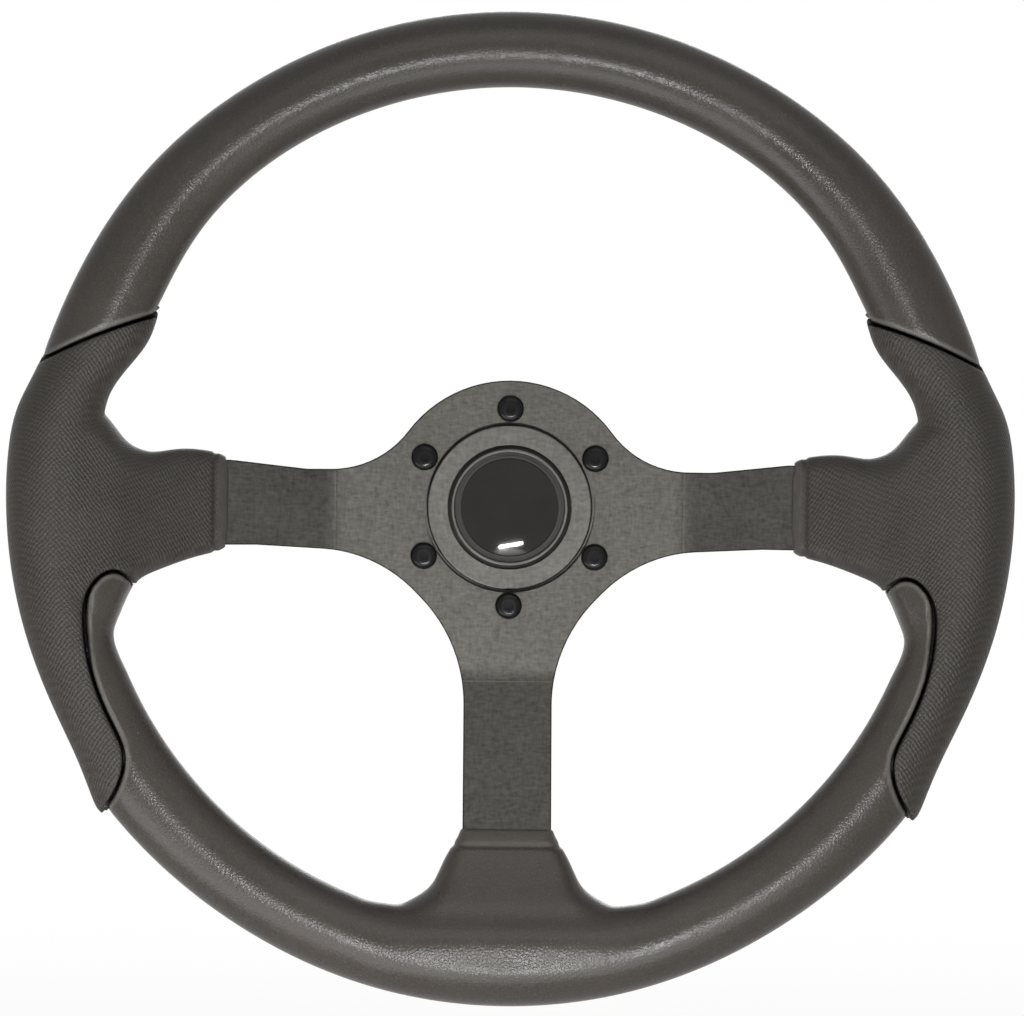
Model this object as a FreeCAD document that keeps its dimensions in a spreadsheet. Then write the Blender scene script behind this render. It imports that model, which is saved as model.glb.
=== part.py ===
import FreeCAD, Part
import math
import os
import re

import Sketcher
from FreeCAD import Placement, Rotation, Vector

# Boat steering wheel: a dished three-spoke plate on a turned hub, with a moulded grip round a ring core.
# The wheel turns about Y and its face looks towards -Y. +Z is up, +X is to the right of the helmsman.
# The origin is the centre of the hub's back face, where the tapered shaft bore opens.

driving_sizes = (
    # rim and grip
    ("rim_diameter", 350, "outer circle of the rim"),
    ("core_inset", 13.5, "from the rim circle in to the ring core's centreline"),
    ("core_rod", 8, "diameter of the ring core's rod"),
    ("upper_grip_width", 26.8, "upper section, measured along the radius"),
    ("upper_grip_depth", 27, "upper section, front to back"),
    ("side_grip_width", 28.6, "side grips, measured along the radius"),
    ("side_grip_depth", 30, "side grips, front to back"),
    ("lower_grip_width", 28.6, "lower section, measured along the radius"),
    ("lower_grip_depth", 28, "lower section, front to back"),
    ("lower_swell", 1.2, "lower section beyond the rim circle, next to the side grips"),
    ("palm_swell", 2.7, "side grip beyond the rim circle, at the palm"),
    ("heel_swell", 3.2, "side grip beyond the rim circle, at its lower end"),
    ("neck_waist", 2.1, "side grip inside the rim circle, at the neck"),
    ("thumb_stop", 6.2, "inward bump below the upper seam"),
    ("shoulder_swell", 5.2, "inward thickening of the upper section at its ends"),
    ("seam_gap", 0.9, "open groove between two grip sections"),
    ("seam_lap", 0.7, "back half of a section under the front half of its neighbour, past the groove"),
    ("lap_clearance", 0.3, "between the lapped halves, front to back"),
    # spoke plate
    ("plate_thickness", 4, "spoke plate"),
    ("hub_plate_diameter", 90, "round middle of the spoke plate"),
    ("side_spoke_top", 13, "upper edge of the side spokes above the axis"),
    ("side_spoke_bottom", 13.9, "lower edge of the side spokes below the axis"),
    ("side_spoke_rise", 3.2, "how far the upper edge climbs towards the collar"),
    ("side_spoke_root", 2.7, "how far the lower edge drops towards the hub"),
    ("spoke_flare", 10, "from the bend, and from the collar, to where the edges change direction"),
    ("spoke_corner", 25, "rounding where the edges change direction"),
    ("bottom_spoke_width", 31.3, "bottom spoke"),
    ("top_fillet", 34, "hub circle into the upper edge of a side spoke"),
    ("under_fillet", 50, "hub circle into the lower edge of a side spoke"),
    ("bottom_fillet", 54, "hub circle into the bottom spoke"),
    ("shared_arc", 89.6, "degrees of the hub circle that two neighbouring lower fillets may take"),
    ("bend_distance", 62, "from the axis to the bend of each spoke"),
    ("bend_radius", 3, "inside radius of the bends"),
    ("dish_angle", 20, "spokes lean forward by this angle"),
    ("spoke_end_gap", 14, "from the ring core's centreline to the end of a spoke"),
    ("plate_edge", 0.4, "bevel of the spoke plate's edges"),
    # collars of the grip on the spokes
    ("side_web_length", 46.9, "from the inner circle of the rim to the edge of a side collar"),
    ("bottom_web_length", 33.6, "from the inner circle of the rim to the edge of the bottom collar"),
    ("collar_lip", 5, "length of the tapered lip"),
    ("lip_cover", 1.2, "moulding over the plate at the edge of the lip"),
    ("collar_cover", 3.6, "moulding over the plate behind the lip"),
    ("lip_edge", 1.0, "moulding beside the spoke at the edge of the lip"),
    ("lip_side", 2.7, "moulding beside the spoke behind the lip"),
    # lugs and rivets
    ("lug_thickness", 3, "lug between the ring core and a spoke"),
    ("lug_width", 22, "lug"),
    ("lug_lap", 20, "lug behind the end of the spoke"),
    ("rivet_diameter", 5, "shank"),
    ("rivet_head_diameter", 8.6, "both heads"),
    ("rivet_head_height", 1.8, "both heads"),
    ("rivet_spacing", 12, "across the spoke"),
    ("rivet_inset", 10, "from the end of the spoke"),
    # hub
    ("hub_depth", 45, "from the back face to the spoke plate"),
    ("hub_flange_diameter", 88, "flange behind the spoke plate"),
    ("hub_flange_thickness", 10, "flange"),
    ("hub_neck_diameter", 60, "neck next to the flange"),
    ("hub_back_diameter", 52, "back face"),
    ("hub_cone_length", 7, "from the neck to the flange"),
    ("hub_chamfer", 1, "outer edges of the hub"),
    ("taper_diameter", 19.05, "three quarter inch bore at the back face"),
    ("taper_run", 12, "length over which the bore narrows by one"),
    ("taper_length", 27, "tapered bore"),
    ("keyway_width", 4.76, "keyway in the tapered bore"),
    ("keyway_depth", 2.3, "keyway beyond the bore at the back face"),
    ("sleeve_clearance", 0.4, "nut pocket round the sleeve of the cap's ring"),
    # screws
    ("screw_circle", 70, "six screws hold the spoke plate"),
    ("screw_diameter", 5, "shank"),
    ("screw_length", 12, "shank"),
    ("screw_head_diameter", 9.5, "domed head"),
    ("screw_head_height", 2.75, "domed head"),
    ("screw_dome", 2.2, "rounding of the head"),
    ("screw_socket", 3, "hexagon across flats"),
    ("screw_socket_depth", 1.6, "hexagon"),
    ("screw_clearance", 0.25, "around the shank in the spoke plate"),
    ("thread_clearance", 0.05, "around the shank in the hub"),
    ("thread_run_out", 1, "tapped hole beyond the tip of the screw"),
    # cap
    ("plate_opening", 60.8, "round opening in the spoke plate"),
    ("cap_ring_diameter", 58.8, "visible flange of the retaining ring"),
    ("cap_ring_recess", 0.4, "flange below the face of the plate"),
    ("cap_ring_edge", 0.8, "rounding of the flange's outer edge"),
    ("cap_ring_foot", 65, "foot of the ring, clamped under the plate"),
    ("cap_foot_thickness", 2, "foot of the ring"),
    ("cap_seat_depth", 2.4, "counterbore for the cap's head"),
    ("cap_sleeve_diameter", 41, "bore of the ring's sleeve"),
    ("cap_sleeve_wall", 3.4, "wall of the ring's sleeve"),
    ("cap_sleeve_length", 10, "sleeve behind the foot"),
    ("cap_clearance", 0.25, "between ring and cap"),
    ("cap_head_diameter", 43.8, "head of the cap"),
    ("cap_wall", 3, "skirt and face of the cap"),
    ("trim_ring_diameter", 41.8, "bright ring, outside"),
    ("trim_ring_width", 1.5, "bright ring"),
    ("trim_ring_height", 1.3, "bright ring"),
    ("badge_diameter", 34.4, "domed disc in the middle of the cap"),
    ("badge_edge", 1.2, "height of the disc at its edge"),
    ("badge_dome", 1.1, "rise of the disc from its edge to its middle"),
    ("badge_recess", 0.8, "disc below the face of the cap"),
    ("badge_collar_width", 0.9, "raised collar round the disc"),
    ("badge_collar_height", 0.6, "raised collar round the disc"),
    ("trim_ring_seat", 0.3, "groove under the bright ring"),
    ("cap_skirt_end", 1.5, "skirt behind the seal groove"),
    ("seal_section", 1.9, "diameter of the sealing ring's section"),
)

# Half of the lower seam, from the armpit under the side spoke to the outer edge of the rim:
# distance inside the rim circle, and angle below the side spoke.
lower_seam_route = (
    (39.0, 10.9),
    (32.4, 9.3),
    (25.0, 11.1),
    (20.1, 15.5),
    (17.2, 22.5),
    (16.4, 28.5),
    (14.2, 33.1),
    (9.0, 35.1),
    (-6.0, 36.9),
)
# The upper seam is an arc: distance inside the rim circle, and angle above the side spoke.
upper_seam_route = ((36.0, 29.2), (16.0, 21.8), (-2.0, 15.6))
lower_seam_start = (45.7, 13.0)  # in the open space under the side web, measured in the same way

# Sections of the moulding on a side spoke, between the collar's lip and the inner circle of the rim:
# share of that way, rise over the spoke's upper edge, drop under its lower edge, share of the grip's depth.
side_web_sections = (
    (0.16, 3.7, 4.4, 0.43),
    (0.35, 3.5, 7.1, 0.53),
    (0.53, 2.7, 10.1, 0.63),
    (0.66, 4.3, 14.1, 0.71),
    (0.76, 7.5, 23.1, 0.78),
    (0.87, 13.4, 31.6, 0.83),
    (1.26, 19.0, 34.0, 0.91),
)
# The same on the bottom spoke: share of the way, moulding beside the spoke, share of the grip's depth.
bottom_web_sections = (
    (0.22, 6.4, 0.5),
    (0.43, 9.2, 0.6),
    (0.6, 12.4, 0.7),
    (0.76, 17.5, 0.78),
    (0.93, 25.0, 0.85),
    (1.35, 30.0, 0.93),
)
web_roundness = 0.86  # corner radius of a web section against half its depth
skin_reach = 60.0  # the seam prisms reach this far in front of and behind the rim
outside_reach = 40.0  # and this far outside the rim circle

doc = FreeCAD.newDocument("boat_steering_wheel")
sheet = doc.addObject("Spreadsheet::Sheet", "sizes")
for row, (alias, value, note) in enumerate(driving_sizes, start=1):
    sheet.set("A%d" % row, note)
    sheet.set("B%d" % row, str(value))
    sheet.setAlias("B%d" % row, alias)
doc.recompute()


def size(alias):
    return float(sheet.get(alias))


def bound(formula):
    """The formula with each alias written as a cell of the sheet."""
    def cell(word):
        return "sizes." + word.group() if word.group() in aliases else word.group()
    return re.sub("[a-z_]+", cell, formula)


aliases = {alias for alias, value, note in driving_sizes}
rim_radius = size("rim_diameter") / 2
core_radius = rim_radius - size("core_inset")
dish = math.radians(size("dish_angle"))
plate_middle = -(size("hub_depth") + size("plate_thickness") / 2)
plate_front = -(size("hub_depth") + size("plate_thickness"))
spoke_end = core_radius - size("spoke_end_gap")


def spoke_middle(radius):
    """Y of the plate's middle surface on a spoke, at this distance from the axis."""
    return plate_middle - max(0, radius - size("bend_distance")) * math.tan(dish)


lug_shift = (size("plate_thickness") + size("lug_thickness")) / 2 / math.cos(dish)
rim_middle = spoke_middle(core_radius) + lug_shift


# Sketches, pads and turned pieces

def new_body(label):
    body = doc.addObject("PartDesign::Body", label)
    body.Label = label
    body.Placement = Placement()
    return body


def new_sketch(body, plane):
    sketch = body.newObject("Sketcher::SketchObject", body.Name + "_sketch")
    support = [item for item in body.Origin.OriginFeatures if item.Role == plane][0]
    sketch.AttachmentSupport = [(support, "")]
    sketch.MapMode = "FlatFace"
    return sketch


def polygon_sketch(body, plane, corners):
    """A closed outline of straight edges, each corner placed by two formulas."""
    sketch = new_sketch(body, plane)
    count = len(corners)
    start = [Vector(math.cos(turn), math.sin(turn), 0) * 30
             for turn in [2 * math.pi * index / count for index in range(count)]]
    for index in range(count):
        sketch.addGeometry(Part.LineSegment(start[index], start[(index + 1) % count]))
    for index in range(count):
        sketch.addConstraint(Sketcher.Constraint("Coincident", index, 2, (index + 1) % count, 1))
    for index, (across, along) in enumerate(corners):
        point = start[index]
        for kind, formula, value in (("DistanceX", across, point.x), ("DistanceY", along, point.y)):
            place = sketch.addConstraint(Sketcher.Constraint(kind, index, 1, value))
            sketch.setExpression("Constraints[%d]" % place, bound(formula))
    return sketch


def circle_sketch(body, plane, across, along, diameter):
    sketch = new_sketch(body, plane)
    sketch.addGeometry(Part.Circle(Vector(30, 10, 0), Vector(0, 0, 1), 5))
    for kind, formula, value in (("DistanceX", across, 30), ("DistanceY", along, 10)):
        place = sketch.addConstraint(Sketcher.Constraint(kind, 0, 3, value))
        sketch.setExpression("Constraints[%d]" % place, bound(formula))
    place = sketch.addConstraint(Sketcher.Constraint("Diameter", 0, 10))
    sketch.setExpression("Constraints[%d]" % place, bound(diameter))
    return sketch


def pad(body, sketch, length):
    """A pad to both sides of the sketch."""
    feature = body.newObject("PartDesign::Pad", body.Name + "_pad")
    feature.Profile = sketch
    feature.SideType = "Symmetric"
    feature.setExpression("Length", bound(length))
    sketch.Visibility = False
    return feature


def pocket(body, sketch, length):
    """A pocket to both sides of the sketch; it has to take material away."""
    doc.recompute()
    before = body.Shape.Volume
    feature = body.newObject("PartDesign::Pocket", body.Name + "_pocket")
    feature.Profile = sketch
    feature.SideType = "Symmetric"
    feature.setExpression("Length", bound(length))
    doc.recompute()
    if body.Shape.Volume >= before:
        raise ValueError("the pocket in %s cuts nothing" % body.Label)
    return feature


def revolve(body, sketch):
    """A full turn about the wheel's axis, of a profile that lies in the XY plane."""
    feature = body.newObject("PartDesign::Revolution", body.Name + "_turned")
    feature.Profile = sketch
    feature.ReferenceAxis = (sketch, ["V_Axis"])
    feature.Angle = 360
    return feature


def polar_pattern(body, original, count):
    """Copies of a feature round the wheel's axis."""
    feature = body.newObject("PartDesign::PolarPattern", body.Name + "_pattern")
    feature.Originals = [original]
    axis = [item for item in body.Origin.OriginFeatures if item.Role == "Y_Axis"][0]
    feature.Axis = (axis, [""])
    feature.Angle = 360
    feature.Occurrences = count
    body.Tip = feature
    doc.recompute()
    return feature


def edge_points(edge):
    """The ends and the middle of an edge."""
    middle = edge.valueAt((edge.FirstParameter + edge.LastParameter) / 2)
    return [vertex.Point for vertex in edge.Vertexes] + [middle]


def edges_where(shape, test):
    """Names of the edges that pass the test with all of their points."""
    return ["Edge%d" % number for number, edge in enumerate(shape.Edges, start=1)
            if all(test(point) for point in edge_points(edge))]


def straight_edges_where(shape, test):
    """Names of the edges that run front to back and pass the test."""
    def upright(edge):
        return abs(edge.Vertexes[0].Y - edge.Vertexes[-1].Y) > 1
    return ["Edge%d" % number for number, edge in enumerate(shape.Edges, start=1)
            if upright(edge) and all(test(point) for point in edge_points(edge))]


def round_edges(body, radius, test, kind="PartDesign::Fillet", find=edges_where):
    doc.recompute()
    base = body.Tip
    feature = body.newObject(kind, body.Name + "_edge")
    feature.Base = (base, find(base.Shape, test))
    feature.setExpression("Radius" if kind.endswith("Fillet") else "Size", bound(radius))
    doc.recompute()
    return feature


def on_circle(radius, along):
    """A test for the edges that run round the axis at this radius and this Y."""
    def test(point):
        return abs(math.hypot(point.x, point.z) - radius) < 0.01 and abs(point.y - along) < 0.01
    return test


def shape_feature(label, shape):
    feature = doc.addObject("Part::Feature", label)
    feature.Label = label
    feature.Shape = shape
    feature.Placement = Placement()
    return feature


def cut(label, base, tool):
    feature = doc.addObject("Part::Cut", label)
    feature.Label = label
    feature.Base = base
    feature.Tool = tool
    return feature


def joined(label, pieces):
    feature = doc.addObject("Part::MultiFuse", label)
    feature.Shapes = pieces
    return feature


# Spoke plate

def plate_outline():
    """The front outline of the plate, drawn flat and made thick enough to hold the dish."""
    body = new_body("plate_outline")
    thick = "2 * (hub_depth + rim_diameter / 2)"
    pad(body, circle_sketch(body, "XZ_Plane", "0", "0", "hub_plate_diameter"), thick)
    end = "(rim_diameter / 2 - core_inset - spoke_end_gap)"
    collar = "(rim_diameter / 2 - side_grip_width - side_web_length)"
    upper = [("0", "side_spoke_top"), ("bend_distance + spoke_flare", "side_spoke_top"),
             (collar, "side_spoke_top + side_spoke_rise"), (end, "side_spoke_top")]
    lower = [(end, "-side_spoke_bottom"), (collar + " - spoke_flare", "-side_spoke_bottom"),
             ("hub_plate_diameter / 2", "-side_spoke_bottom - side_spoke_root"),
             ("0", "-side_spoke_bottom - side_spoke_root")]
    right = upper + lower
    left = [("-(%s)" % across, along) for across, along in right[-2:0:-1]]
    pad(body, polygon_sketch(body, "XZ_Plane", right + left), thick)
    hub = size("hub_plate_diameter") / 2
    round_edges(body, "spoke_corner", lambda point: hub + 0.01 < abs(point.x) < spoke_end - 0.01,
                find=straight_edges_where)
    half = "bottom_spoke_width / 2"
    pad(body, polygon_sketch(body, "XZ_Plane", [(half, "0"), ("-" + half, "0"), ("-" + half, "-" + end),
                                                 (half, "-" + end)]), thick)

    def at_hub(point):
        return abs(math.hypot(point.x, point.z) - hub) < 0.01

    share = "sin(shared_arc / 2)"  # the two lower fillets share a quarter of the hub's circle
    room = "(hub_plate_diameter / 2 * %s - %s) / (1 - %s)"
    under = "min(under_fillet; %s)" % (room % (share, "side_spoke_bottom - side_spoke_root", share))
    bottom = "min(bottom_fillet; %s)" % (room % (share, "bottom_spoke_width / 2", share))
    corners = {
        "top_fillet": lambda point: at_hub(point) and point.z > 0,
        under: lambda point: at_hub(point) and 0 > point.z > -abs(point.x),
        bottom: lambda point: at_hub(point) and point.z < -abs(point.x),
    }
    for radius, test in corners.items():
        round_edges(body, radius, test, find=straight_edges_where)
    pocket(body, circle_sketch(body, "XZ_Plane", "0", "0", "plate_opening"), thick)
    hole = pocket(body, circle_sketch(body, "XZ_Plane", "0", "screw_circle / 2",
                                      "screw_diameter + 2 * screw_clearance"), thick)
    polar_pattern(body, hole, screw_count)
    return body


def bent_sheet():
    """The sheet seen from the side: flat round the hub, then bent forward along the three spokes."""
    body = new_body("bent_sheet")
    back = "-hub_depth"
    front = "-hub_depth - plate_thickness"
    reach = "rim_diameter / 2"
    shift = "plate_thickness / 2 * tan(dish_angle / 2)"
    inner = "(bend_distance - %s)" % shift
    outer = "(bend_distance + %s)" % shift
    front_end = "%s - (%s - %s) * tan(dish_angle)" % (front, reach, inner)
    back_end = "%s - (%s - %s) * tan(dish_angle)" % (back, reach, outer)
    right = [(inner, front), (reach, front_end), (reach, back_end), (outer, back)]
    left = [("-" + across, along) for across, along in right[::-1]]
    pad(body, polygon_sketch(body, "XY_Plane", right + left), "2 * (bend_distance - 2)")
    arm = [(front, "0"), (back, "0"), (back, "-" + outer), (back_end, "-" + reach),
           (front_end, "-" + reach), (front, "-" + inner)]
    pad(body, polygon_sketch(body, "YZ_Plane", arm), "2 * bottom_spoke_width")

    def at_bend(offset, level):
        place = size("bend_distance") + offset * size("plate_thickness") / 2 * math.tan(dish / 2)

        def test(point):
            across = abs(abs(point.x) - place) < 0.01 or abs(point.z + place) < 0.01
            return across and abs(point.y - level) < 0.01
        return test

    round_edges(body, "bend_radius", at_bend(-1, plate_front))
    round_edges(body, "bend_radius + plate_thickness", at_bend(1, -size("hub_depth")))
    return body


def outline_edges(shape):
    """Numbers of the edges between the plate's sides and its front and back, outside the hub."""
    inside = (size("screw_circle") + size("screw_diameter")) / 2
    numbers = []
    for number, edge in enumerate(shape.Edges, start=1):
        middle = edge_points(edge)[-1]
        distance = math.hypot(middle.x, middle.z)
        faces = shape.ancestorsOfType(edge, Part.Face)
        upright = [abs(face.normalAt(*face.Surface.parameter(middle)).y) < 0.01 for face in faces]
        at_end = max(abs(middle.x), -middle.z) > spoke_end - 0.01
        if sorted(upright) == [False, True] and distance > inside and not at_end:
            numbers.append(number)
    return numbers


def spoke_point(radius, across, lift):
    """A point on the right spoke: distance from the axis, height, and lift in front of its middle."""
    return Vector(radius - lift * math.sin(dish), spoke_middle(radius) - lift * math.cos(dish), across)


def around(shape, turn):
    """The shape turned about the wheel's axis, from the right spoke to another one."""
    turned = shape.copy()
    turned.rotate(Vector(0, 0, 0), Vector(0, 1, 0), turn)
    return turned


spoke_turns = {"right": 0, "left": 180, "bottom": 90}
screw_count = 6
plate_forward = Vector(-math.sin(dish), -math.cos(dish), 0)  # square to the right spoke, out of its face


def rivet_places():
    """Places on the right spoke: two rivets side by side near its end."""
    radius = spoke_end - size("rivet_inset")
    return [(radius, side * size("rivet_spacing") / 2) for side in (-1, 1)]


def rivet_solid(radius, across):
    """Shank through plate and lug, with a low bevelled head at each end."""
    plate = size("plate_thickness") / 2
    lug = size("lug_thickness")
    head = size("rivet_head_height")
    front = spoke_point(radius, across, plate)
    back = spoke_point(radius, across, -plate - lug)
    shank = Part.makeCylinder(size("rivet_diameter") / 2, 2 * plate + lug, back, plate_forward)
    solid = shank
    for seat, way in ((front, plate_forward), (back, -plate_forward)):
        cap = Part.makeCylinder(size("rivet_head_diameter") / 2, head, seat, way)
        rim = [edge for edge in cap.Edges
               if abs((edge.CenterOfMass - seat).dot(way) - head) < 0.01 and edge.Closed]
        solid = solid.fuse(cap.makeChamfer(head * 0.6, rim))
    return solid.removeSplitter()


def rivet_drill(radius, across):
    """The hole of one rivet, through plate and lug."""
    depth = size("plate_thickness") + 2 * size("lug_thickness")
    start = spoke_point(radius, across, -depth)
    return Part.makeCylinder(size("rivet_diameter") / 2, 2 * depth, start, plate_forward)


def spoke_lug(name):
    """A flat tab, coped to the ring core and lapped behind the end of one spoke."""
    start = spoke_end - size("lug_lap")
    corner = spoke_point(start, -size("lug_width") / 2, -size("plate_thickness") / 2)
    tab = doc.addObject("Part::Box", name + "_tab")
    tab.Length = (core_radius - start) / math.cos(dish)
    tab.setExpression("Width", "sizes.lug_thickness")
    tab.setExpression("Height", "sizes.lug_width")
    lean = Rotation(Vector(0, 0, 1), -size("dish_angle"))
    turn = Rotation(Vector(0, 1, 0), spoke_turns[name])
    tab.Placement = Placement(turn.multVec(corner), turn.multiply(lean))
    drills = [around(rivet_drill(radius, across), spoke_turns[name]) for radius, across in rivet_places()]
    holes = shape_feature(name + "_tab_holes", Part.makeCompound(drills))
    tools = joined(name + "_tab_tools", [rim_ring, holes])
    return cut("ring_lug_" + name, tab, tools)


# Hub, screws and cap

def hub_boss():
    """Turned boss: back face, neck, cone and flange, with the shaft's tapered bore and the nut pocket."""
    body = new_body("hub_boss")
    small = "(taper_diameter / 2 - taper_length / taper_run / 2)"
    seat = "(hub_depth - cap_foot_thickness)"
    flange_back = "(hub_depth - hub_flange_thickness)"
    foot = "(cap_ring_foot / 2 + cap_clearance)"
    pocket_wall = "cap_sleeve_diameter / 2 + cap_sleeve_wall + sleeve_clearance"
    profile = [
        ("taper_diameter / 2", "0"),
        ("hub_back_diameter / 2", "0"),
        ("hub_neck_diameter / 2", "-hub_cone_length"),
        ("hub_neck_diameter / 2", "-%s + hub_cone_length" % flange_back),
        ("hub_flange_diameter / 2", "-" + flange_back),
        ("hub_flange_diameter / 2", "-hub_depth"),
        (foot, "-hub_depth"),
        (foot, "-" + seat),
        (pocket_wall, "-" + seat),
        (pocket_wall, "-taper_length"),
        (small, "-taper_length"),
    ]
    revolve(body, polygon_sketch(body, "XY_Plane", profile))
    half = "keyway_width / 2"
    floor = "taper_diameter / 2 + keyway_depth"
    key = [("-" + half, "0"), (half, "0"), (half, floor), ("-" + half, floor)]
    pocket(body, polygon_sketch(body, "XZ_Plane", key), "2 * taper_length")
    tip = "-hub_depth + screw_length - plate_thickness + thread_run_out"
    bore = polygon_sketch(body, "YZ_Plane", [
        ("-hub_depth", "screw_circle / 2"),
        ("-hub_depth", "screw_circle / 2 + screw_diameter / 2 + thread_clearance"),
        (tip, "screw_circle / 2 + screw_diameter / 2 + thread_clearance"),
        (tip, "screw_circle / 2"),
    ])
    doc.recompute()
    before = body.Shape.Volume
    hole = body.newObject("PartDesign::Groove", "hub_boss_tapped")
    hole.Profile = bore
    hole.ReferenceAxis = (bore, ["Edge4"])
    hole.Angle = 360
    doc.recompute()
    if hole.Shape.Volume >= before:
        raise ValueError("the tapped hole cuts nothing")
    polar_pattern(body, hole, screw_count)
    flange = size("hub_flange_diameter") / 2
    round_edges(body, "hub_chamfer", on_circle(flange, -size("hub_depth")), "PartDesign::Chamfer")
    round_edges(body, "hub_chamfer", on_circle(size("hub_back_diameter") / 2, 0), "PartDesign::Chamfer")
    return body


def screw_body():
    """One button-head screw with a hexagon socket, its seat at Y = 0 and its head towards -Y."""
    body = new_body("hub_screw")
    shank = "screw_diameter / 2"
    head = "screw_head_diameter / 2"
    top = "-screw_head_height"
    tip = "screw_length"
    profile = [("0", tip), ("0", top), (head, top), (head, "0"), (shank, "0"), (shank, tip)]
    revolve(body, polygon_sketch(body, "XY_Plane", profile))
    round_edges(body, "screw_dome", on_circle(size("screw_head_diameter") / 2, -size("screw_head_height")))
    flat = "screw_socket / 2"
    side = "(screw_socket / sqrt(3) / 2)"
    corner = "screw_socket / sqrt(3)"
    hexagon = [(flat, side), ("0", corner), ("-" + flat, side), ("-" + flat, "-" + side), ("0", "-" + corner),
               (flat, "-" + side)]
    sketch = polygon_sketch(body, "XZ_Plane", hexagon)
    sketch.setExpression("AttachmentOffset.Base.z", "sizes.screw_head_height")
    pocket(body, sketch, "2 * screw_socket_depth")
    return body


def cap_ring():
    """Retaining ring of the cap: visible flange, foot clamped under the plate, and sleeve."""
    body = new_body("cap_ring")
    front = "(cap_ring_recess - hub_depth - plate_thickness)"
    seat = front[:-1] + " + cap_seat_depth)"
    foot_back = "(cap_foot_thickness - hub_depth)"
    sleeve = "cap_sleeve_diameter / 2"
    profile = [
        ("cap_head_diameter / 2 + cap_clearance", front),
        ("cap_ring_diameter / 2", front),
        ("cap_ring_diameter / 2", "-hub_depth"),
        ("cap_ring_foot / 2", "-hub_depth"),
        ("cap_ring_foot / 2", foot_back),
        (sleeve + " + cap_sleeve_wall", foot_back),
        (sleeve + " + cap_sleeve_wall", foot_back[:-1] + " + cap_sleeve_length)"),
        (sleeve, foot_back[:-1] + " + cap_sleeve_length)"),
        (sleeve, seat),
        ("cap_head_diameter / 2 + cap_clearance", seat),
    ]
    revolve(body, polygon_sketch(body, "XY_Plane", profile))
    face = plate_front + size("cap_ring_recess")
    round_edges(body, "cap_ring_edge", on_circle(size("cap_ring_diameter") / 2, face))
    return body


def centre_cap():
    """Moulded cap: head with steps for the bright ring and the disc, hollow skirt with a seal groove."""
    body = new_body("centre_cap")
    front = "cap_ring_recess - hub_depth - plate_thickness"
    seat = front + " + cap_seat_depth"
    skirt = "(cap_sleeve_diameter / 2 - cap_clearance)"
    groove = "(cap_sleeve_diameter / 2 - seal_section)"
    groove_top = seat + " + cap_wall"
    groove_back = groove_top + " + seal_section"
    back = groove_back + " + cap_skirt_end"
    inside = "(%s - cap_wall / 2)" % groove
    ring_out = "(trim_ring_diameter / 2)"
    ring_in = "(trim_ring_diameter / 2 - trim_ring_width)"
    badge = "(badge_diameter / 2 + cap_clearance)"
    floor = front + " + badge_recess"
    collar = badge + " + badge_collar_width"
    collar_face = front + " - badge_collar_height"
    ring_floor = front + " + trim_ring_seat"
    profile = [
        ("0", floor),
        (badge, floor),
        (badge, collar_face),
        (collar, collar_face),
        (collar, front),
        (ring_in, front),
        (ring_in, ring_floor),
        (ring_out, ring_floor),
        (ring_out, front),
        ("cap_head_diameter / 2", front),
        ("cap_head_diameter / 2", seat),
        (skirt, seat),
        (skirt, groove_top),
        (groove, groove_top),
        (groove, groove_back),
        (skirt, groove_back),
        (skirt, back),
        (inside, back),
        (inside, floor + " + cap_wall"),
        ("0", floor + " + cap_wall"),
    ]
    revolve(body, polygon_sketch(body, "XY_Plane", profile))
    return body


def cap_trim_ring():
    """The thin bright ring on the cap."""
    body = new_body("cap_trim_ring")
    back = "cap_ring_recess - hub_depth - plate_thickness + trim_ring_seat"
    front = back + " - trim_ring_height"
    outer = "trim_ring_diameter / 2"
    inner = "trim_ring_diameter / 2 - trim_ring_width"
    profile = [(inner, back), (outer, back), (outer, front), (inner, front)]
    revolve(body, polygon_sketch(body, "XY_Plane", profile))
    face = plate_front + size("cap_ring_recess") + size("trim_ring_seat") - size("trim_ring_height")
    outside = on_circle(size("trim_ring_diameter") / 2, face)
    inside = on_circle(size("trim_ring_diameter") / 2 - size("trim_ring_width"), face)
    round_edges(body, "trim_ring_width / 3", lambda point: outside(point) or inside(point))
    return body


def cap_badge():
    """The bare domed disc in the middle of the cap: a short cylinder under a large ball."""
    radius = size("badge_diameter") / 2
    floor = plate_front + size("cap_ring_recess") + size("badge_recess")
    height = size("badge_edge") + size("badge_dome")
    disc = doc.addObject("Part::Cylinder", "badge_disc")
    disc.setExpression("Radius", "sizes.badge_diameter / 2")
    disc.setExpression("Height", "sizes.badge_edge + sizes.badge_dome")
    disc.Placement = Placement(Vector(0, floor, 0), Rotation(Vector(1, 0, 0), 90))
    ball_radius = (radius ** 2 + size("badge_dome") ** 2) / (2 * size("badge_dome"))
    ball = doc.addObject("Part::Sphere", "badge_ball")
    ball.Radius = ball_radius
    ball.Placement = Placement(Vector(0, floor - height + ball_radius, 0), Rotation(Vector(1, 0, 0), 90))
    badge = doc.addObject("Part::Common", "cap_badge")
    badge.Label = "cap_badge"
    badge.Base = disc
    badge.Tool = ball
    return badge


def cap_seal():
    """The sealing ring that holds the cap in the sleeve."""
    seal = doc.addObject("Part::Torus", "cap_seal")
    seal.Label = "cap_seal"
    seal.setExpression("Radius1", "sizes.cap_sleeve_diameter / 2 - sizes.seal_section / 2")
    seal.setExpression("Radius2", "sizes.seal_section / 2")
    seat = plate_front + size("cap_ring_recess") + size("cap_seat_depth") + size("cap_wall")
    middle = seat + size("seal_section") / 2
    seal.Placement = Placement(Vector(0, middle, 0), Rotation(Vector(1, 0, 0), 90))
    return seal


# Grip

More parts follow.
